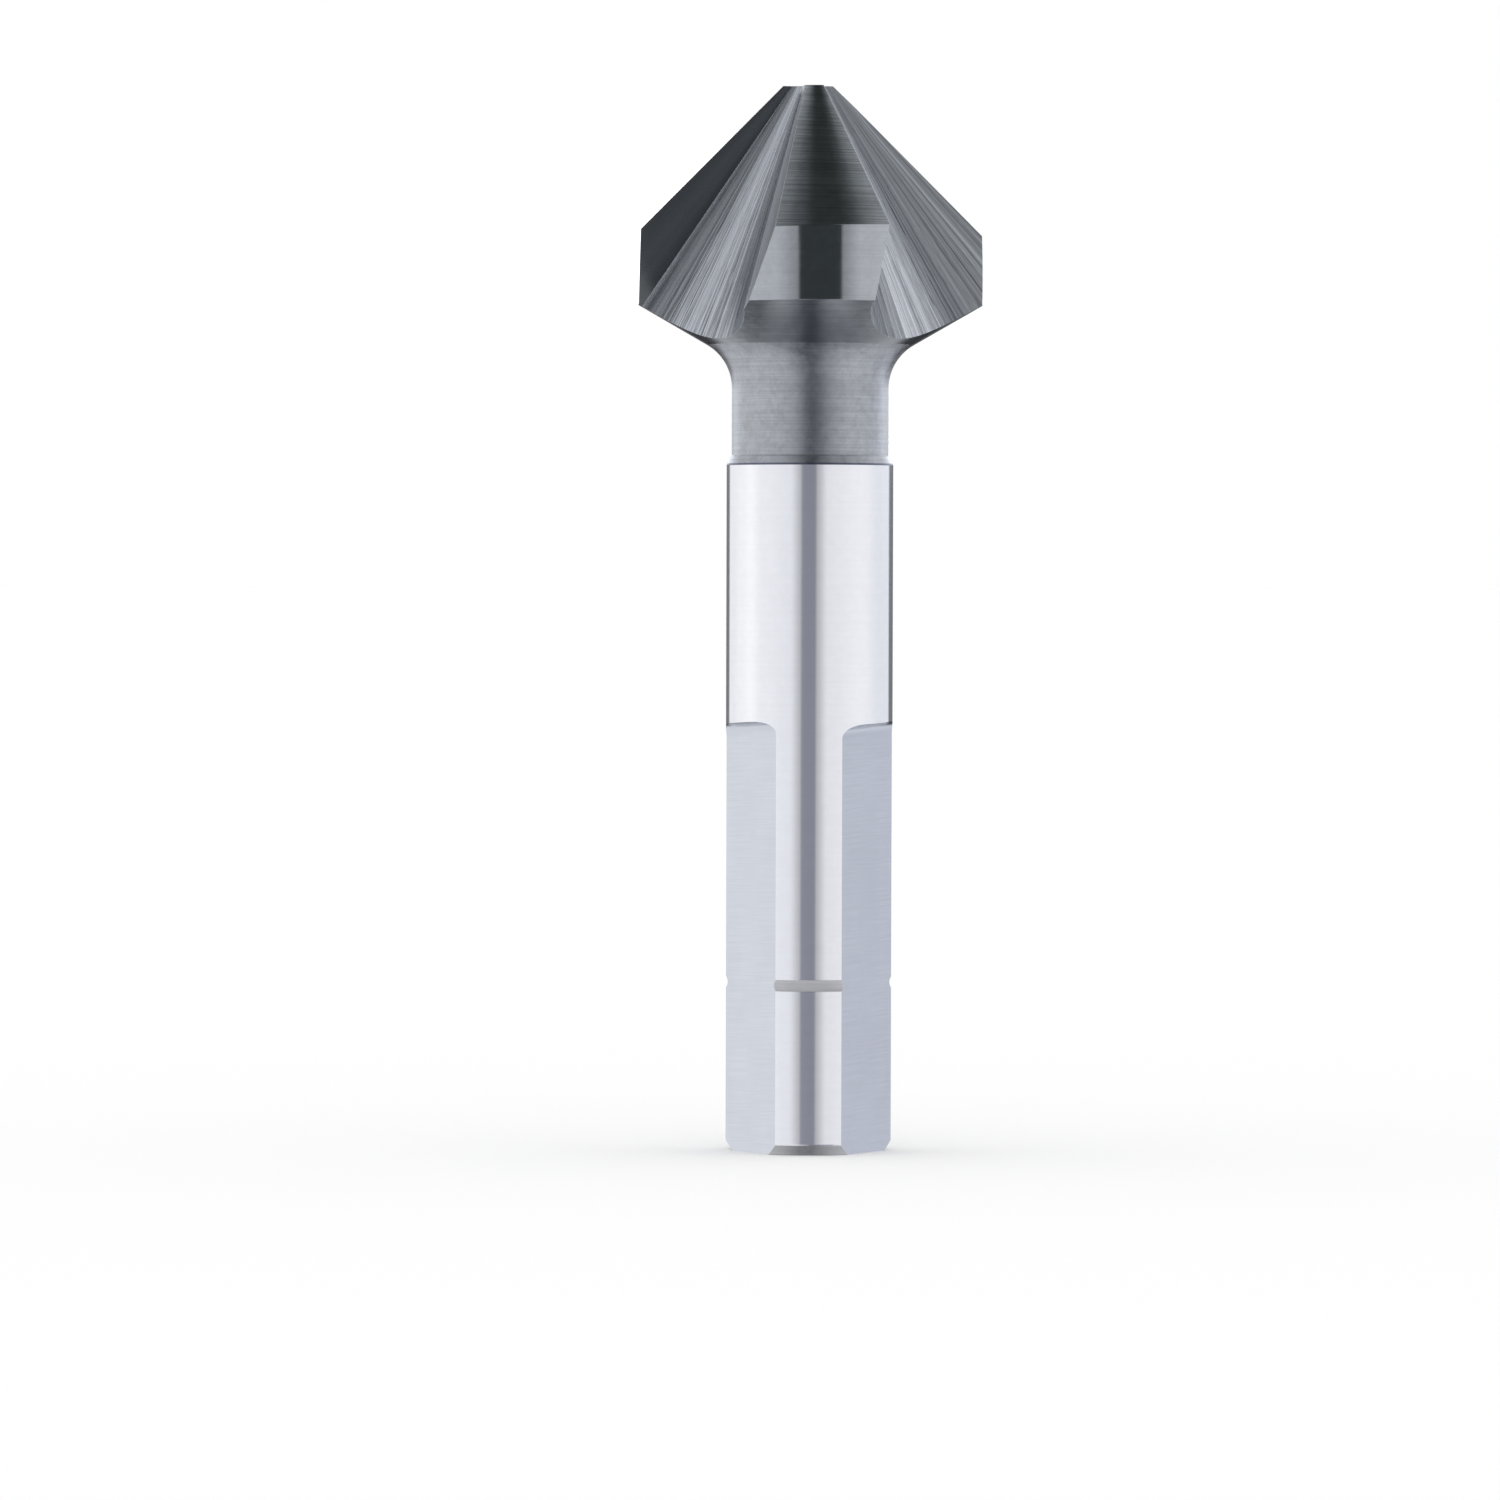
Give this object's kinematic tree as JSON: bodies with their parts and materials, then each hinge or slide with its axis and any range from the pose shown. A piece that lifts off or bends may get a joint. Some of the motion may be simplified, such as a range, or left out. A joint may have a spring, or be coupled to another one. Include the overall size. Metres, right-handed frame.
{
  "type": "countersink bit",
  "caption": "Fluted steel countersink bit with a ninety degree cone, a cylindrical rim, a waisted neck and a round shank with ground driving flats.",
  "frame": {"origin": "centre of the shank's end face", "axes": "+Z along the tool's axis, from the shank's end face to the tip; -Y is the side with the land between two flats and the front cutting land; +X to its right"},
  "size_m": [0.0206, 0.0196, 0.0639],
  "materials": {
    "tool_steel": "ground and polished, bare"
  },
  "bodies": {
    "root": {"countersink_bit": "tool_steel"}
  },
  "joints": []
}
